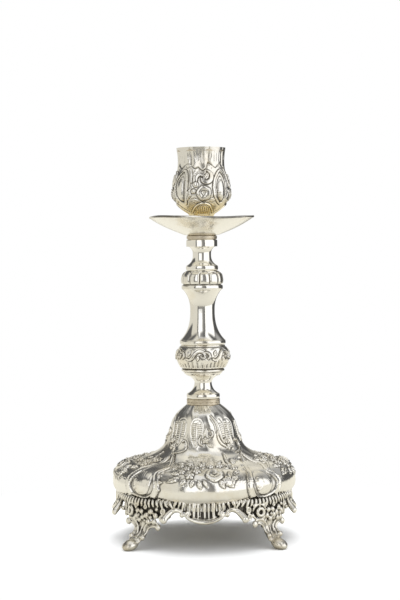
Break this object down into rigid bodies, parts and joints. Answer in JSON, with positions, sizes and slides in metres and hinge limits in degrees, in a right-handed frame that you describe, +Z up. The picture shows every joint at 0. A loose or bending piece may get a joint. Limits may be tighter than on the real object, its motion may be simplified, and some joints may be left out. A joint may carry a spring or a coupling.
{
  "type": "altar candlestick",
  "caption": "Silver altar candlestick with a chased lobed base on cast scroll feet, a turned stem, a drip pan and a screw-on tulip socket that takes a candle.",
  "frame": {"origin": "on the floor, under the stem's axis, level with the undersides of the feet", "axes": "+Z up along the stem, -Y towards the front side of the base, +X to the right; feet lie on the diagonals"},
  "size_m": [0.115, 0.115, 0.2334],
  "materials": {
    "silver": "polished old silver with oxidised recesses",
    "cast_silver": "cast and chased silver, dark in the recesses",
    "worn_silver": "tarnished, unpolished ring",
    "steel": "bright zinc-plated steel",
    "brass": "plain turned brass"
  },
  "bodies": {
    "base": {"base_shell": "silver", "base_collar": "worn_silver", "clamp_disc": "steel", "apron_front": "cast_silver", "apron_right": "cast_silver", "apron_back": "cast_silver", "apron_left": "cast_silver", "foot_front_left": "cast_silver", "foot_front_right": "cast_silver", "foot_back_right": "cast_silver", "foot_back_left": "cast_silver"},
    "stem": {"stem_foot": "silver", "lower_knop": "silver", "baluster": "silver", "gadrooned_knop": "silver", "neck": "silver", "pan_ring": "worn_silver", "tie_rod": "steel"},
    "pan": {"drip_pan": "silver"},
    "socket": {"socket": "silver", "socket_boss": "brass", "candle_cup": "silver"},
    "washer": {"washer": "steel"},
    "nut": {"wing_nut": "brass"}
  },
  "joints": [
    {"name": "stem_swivel", "type": "hinge", "parent": "base", "child": "stem", "pos_m": [0, 0, 0.0828], "axis": [0, 0, 1], "continuous": true},
    {"name": "socket_unscrew", "type": "hinge", "parent": "stem", "child": "pan", "pos_m": [0, 0, 0.1806], "axis": [0, 0, 1], "range_deg": [0, 4320]},
    {"name": "socket_rise", "type": "slide", "parent": "pan", "child": "socket", "axis": [0, 0, 1], "range_m": [0, 0.012]},
    {"name": "washer_drop", "type": "slide", "parent": "stem", "child": "washer", "axis": [0, 0, -1], "range_m": [0, 0.006]},
    {"name": "nut_turn", "type": "hinge", "parent": "washer", "child": "nut", "pos_m": [0, 0, 0.0707], "axis": [0, 0, -1], "range_deg": [0, 2160]}
  ],
  "couplings": [
    {"joint": "socket_unscrew", "follows": "socket_rise", "rad_per_m": 6283.2},
    {"joint": "nut_turn", "follows": "washer_drop", "rad_per_m": 6283.2}
  ]
}
